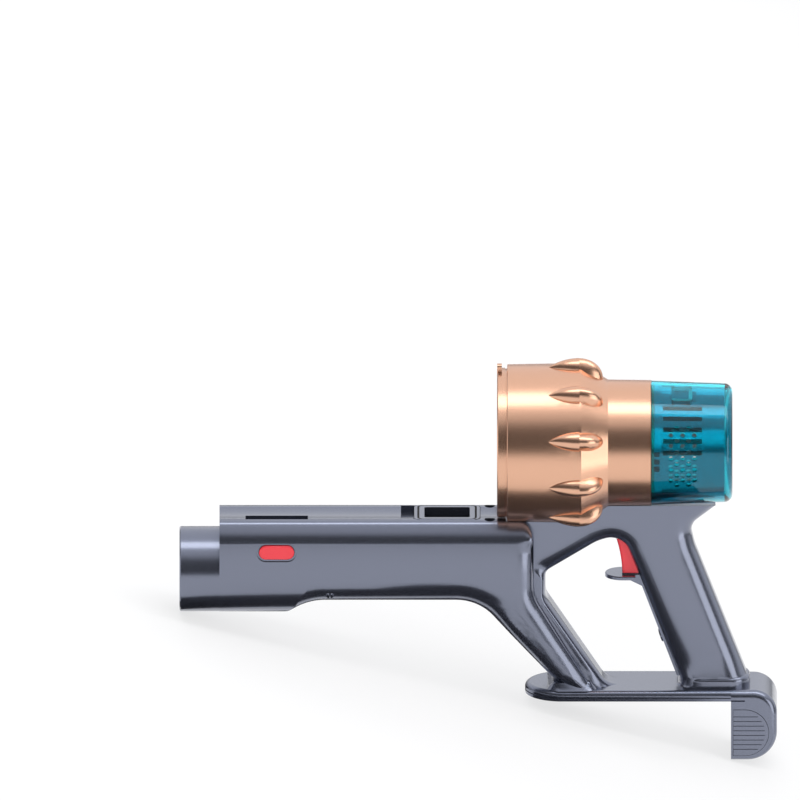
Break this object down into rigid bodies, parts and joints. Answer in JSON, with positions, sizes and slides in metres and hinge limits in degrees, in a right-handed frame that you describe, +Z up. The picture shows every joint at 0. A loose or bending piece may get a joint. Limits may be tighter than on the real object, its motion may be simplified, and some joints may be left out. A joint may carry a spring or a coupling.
{
  "type": "vacuum main body",
  "caption": "Hand unit of a cordless stick vacuum: tube housing, motor barrel ringed with small cones, clear exhaust cap, trigger grip and battery dock.",
  "frame": {"origin": "below the middle of the body, on the level that its nose and heel stand on", "axes": "+X towards the heel, +Z up, -Y towards the side with the catch slot"},
  "size_m": [0.4288, 0.1148, 0.2499],
  "materials": {
    "gunmetal": "metallic gloss",
    "dark_plastic": "gloss",
    "rose_gold": "satin metallic",
    "black_rubber": "matt",
    "black_plastic": "matt",
    "red_plastic": "satin",
    "teal_clear": "clear gloss",
    "filter_paper": "matt",
    "board_green": "matt",
    "brass": "bright",
    "steel": "plain"
  },
  "bodies": {
    "housing": {"shell_left": "gunmetal", "shell_right": "gunmetal", "nose_collar": "gunmetal", "inlet_duct": "dark_plastic", "port_rim": "gunmetal", "port_seal": "black_rubber", "top_saddle": "gunmetal", "dock_plate": "gunmetal", "heel_cover": "gunmetal", "battery_spring_left": "steel", "wand_spring_left": "steel", "battery_spring_right": "steel", "wand_spring_right": "steel", "front_ring": "rose_gold", "motor_barrel": "rose_gold", "motor_cowl": "rose_gold", "cap_seal": "black_rubber", "bulkhead": "black_plastic", "intake_grille": "black_plastic", "motor_can": "steel", "stator": "steel", "front_bearing": "steel", "rear_bearing": "steel", "front_motor_mount": "black_rubber", "rear_motor_mount": "black_rubber", "trigger_spring": "steel", "trigger_pin": "steel", "grip_strip": "dark_plastic", "screw_plug": "dark_plastic", "trigger_switch": "black_plastic", "control_board": "board_green", "terminal_block": "black_plastic", "contact_blades": "brass"},
    "exhaust_unit": {"exhaust_cap": "teal_clear", "filter_frame": "black_plastic", "exhaust_filter": "filter_paper"},
    "rotor_unit": {"rotor": "steel", "impeller": "black_plastic"},
    "trigger_lever": {"trigger": "red_plastic"},
    "wand_button_l": {"wand_button_left": "red_plastic"},
    "wand_button_r": {"wand_button_right": "red_plastic"},
    "battery_button_l": {"battery_button_left": "dark_plastic"},
    "battery_button_r": {"battery_button_right": "dark_plastic"}
  },
  "joints": [
    {"name": "trigger_pull", "type": "hinge", "parent": "housing", "child": "trigger_lever", "pos_m": [0.07939, 0, 0.13533], "axis": [0, -1, 0], "range_deg": [0, 9], "stiffness_Nm_per_rad": 0.3, "springref_deg": -6.88, "deforming": ["trigger_spring"]},
    {"name": "rotor_spin", "type": "hinge", "parent": "housing", "child": "rotor_unit", "pos_m": [0.04978, 0, 0.18982], "axis": [0.9659, 0, 0.2589], "continuous": true},
    {"name": "exhaust_pull", "type": "slide", "parent": "housing", "child": "exhaust_unit", "axis": [0.9659, 0, 0.2589], "range_m": [0, 0.065]},
    {"name": "wand_press_left", "type": "slide", "parent": "housing", "child": "wand_button_l", "axis": [0, -1, 0], "range_m": [0, 0.0025], "stiffness_N_per_m": 700, "springref_m": -0.002, "deforming": ["wand_spring_left"]},
    {"name": "battery_press_left", "type": "slide", "parent": "housing", "child": "battery_button_l", "axis": [0, -1, 0], "range_m": [0, 0.003], "stiffness_N_per_m": 900, "springref_m": -0.002, "deforming": ["battery_spring_left"]},
    {"name": "wand_press_right", "type": "slide", "parent": "housing", "child": "wand_button_r", "axis": [0, 1, 0], "range_m": [0, 0.0025], "stiffness_N_per_m": 700, "springref_m": -0.002, "deforming": ["wand_spring_right"]},
    {"name": "battery_press_right", "type": "slide", "parent": "housing", "child": "battery_button_r", "axis": [0, 1, 0], "range_m": [0, 0.003], "stiffness_N_per_m": 900, "springref_m": -0.002, "deforming": ["battery_spring_right"]}
  ]
}
